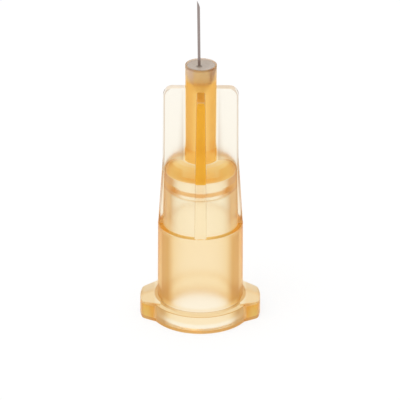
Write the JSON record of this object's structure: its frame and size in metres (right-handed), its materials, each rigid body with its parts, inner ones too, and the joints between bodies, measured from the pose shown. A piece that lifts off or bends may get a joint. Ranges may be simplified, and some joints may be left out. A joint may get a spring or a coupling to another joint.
{
  "type": "mesotherapy needle",
  "caption": "Short fine needle for shallow skin injections: a finned amber hub with a locking luer socket carries a steel cannula bonded into its nose.",
  "frame": {"origin": "centre of the flange's foot, in the plane of the socket's mouth", "axes": "+Z along the hub's axis towards the needle's point, X through the two locking lugs"},
  "size_m": [0.0078, 0.0066, 0.0218],
  "materials": {
    "hub": "translucent amber moulding, smooth",
    "cannula": "drawn stainless tube with a ground point",
    "adhesive": "cured grey-beige resin, wet look"
  },
  "bodies": {
    "root": {"hub": "hub", "cannula": "cannula", "adhesive": "adhesive"}
  },
  "joints": []
}
